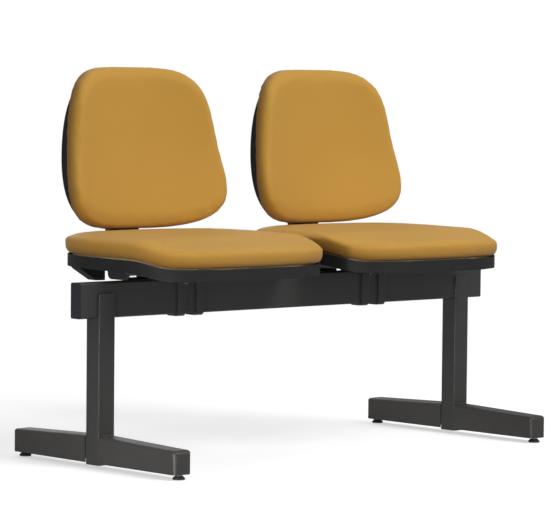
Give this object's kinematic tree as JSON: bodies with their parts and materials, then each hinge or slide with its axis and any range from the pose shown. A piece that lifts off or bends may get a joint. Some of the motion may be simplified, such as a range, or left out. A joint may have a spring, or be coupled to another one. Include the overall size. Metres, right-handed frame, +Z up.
{
  "type": "two-seat beam seating",
  "caption": "Upholstered seats with separate backs, clamped to a shared steel beam that stands on T-shaped legs with levelling glides.",
  "frame": {"origin": "on the floor, under the middle of the beam and of the whole bench's box", "axes": "+X along the beam, from the left seat to the right seat for someone who looks at the seats from the front; -Y is the way the sitters face; +Z up"},
  "size_m": [1.116, 0.5109, 0.7789],
  "materials": {
    "powder_coat": "fine satin powder coat, dark grey",
    "black_plastic": "matte moulded, near black",
    "shell_plastic": "matte moulded, dark grey",
    "upholstery": "close woven mustard cloth over foam",
    "plywood": "moulded plywood, unfinished",
    "zinc": "zinc plated",
    "glide_plastic": "matte black"
  },
  "bodies": {
    "frame": {"back_board_left": "plywood", "back_board_right": "plywood", "back_cushion_left": "upholstery", "back_cushion_right": "upholstery", "back_screws_left": "zinc", "back_screws_right": "zinc", "back_shell_left": "shell_plastic", "back_shell_right": "shell_plastic", "back_spine_left": "powder_coat", "back_spine_right": "powder_coat", "back_tee_nuts_left": "zinc", "back_tee_nuts_right": "zinc", "beam_end_cap_left": "black_plastic", "beam_end_cap_right": "black_plastic", "beam_tube": "powder_coat", "clamp_bolts_left": "zinc", "clamp_bolts_right": "zinc", "clamp_nuts_left": "zinc", "clamp_nuts_right": "zinc", "clamp_strap_inner_left": "powder_coat", "clamp_strap_inner_right": "powder_coat", "clamp_strap_outer_left": "powder_coat", "clamp_strap_outer_right": "powder_coat", "foot_front_left": "powder_coat", "foot_front_right": "powder_coat", "foot_rear_left": "powder_coat", "foot_rear_right": "powder_coat", "glide_nut_front_left": "zinc", "glide_nut_front_right": "zinc", "glide_nut_rear_left": "zinc", "glide_nut_rear_right": "zinc", "leg_column_left": "powder_coat", "leg_column_right": "powder_coat", "seat_board_left": "plywood", "seat_board_right": "plywood", "seat_cushion_left": "upholstery", "seat_cushion_right": "upholstery", "seat_mount_left": "powder_coat", "seat_mount_right": "powder_coat", "seat_screws_left": "zinc", "seat_screws_right": "zinc", "seat_shell_left": "shell_plastic", "seat_shell_right": "shell_plastic", "seat_tee_nuts_left": "zinc", "seat_tee_nuts_right": "zinc", "spine_cap_left": "black_plastic", "spine_cap_right": "black_plastic", "spine_cover_left": "black_plastic", "spine_cover_right": "black_plastic"},
    "glide_front_left": {"glide_pad_front_left": "glide_plastic", "glide_stud_front_left": "zinc"},
    "glide_front_right": {"glide_pad_front_right": "glide_plastic", "glide_stud_front_right": "zinc"},
    "glide_rear_left": {"glide_pad_rear_left": "glide_plastic", "glide_stud_rear_left": "zinc"},
    "glide_rear_right": {"glide_pad_rear_right": "glide_plastic", "glide_stud_rear_right": "zinc"}
  },
  "joints": [
    {"name": "glide_front_left_height", "type": "slide", "parent": "frame", "child": "glide_front_left", "axis": [0, 0, -1], "range_m": [0, 0.012]},
    {"name": "glide_front_right_height", "type": "slide", "parent": "frame", "child": "glide_front_right", "axis": [0, 0, -1], "range_m": [0, 0.012]},
    {"name": "glide_rear_left_height", "type": "slide", "parent": "frame", "child": "glide_rear_left", "axis": [0, 0, -1], "range_m": [0, 0.012]},
    {"name": "glide_rear_right_height", "type": "slide", "parent": "frame", "child": "glide_rear_right", "axis": [0, 0, -1], "range_m": [0, 0.012]}
  ]
}
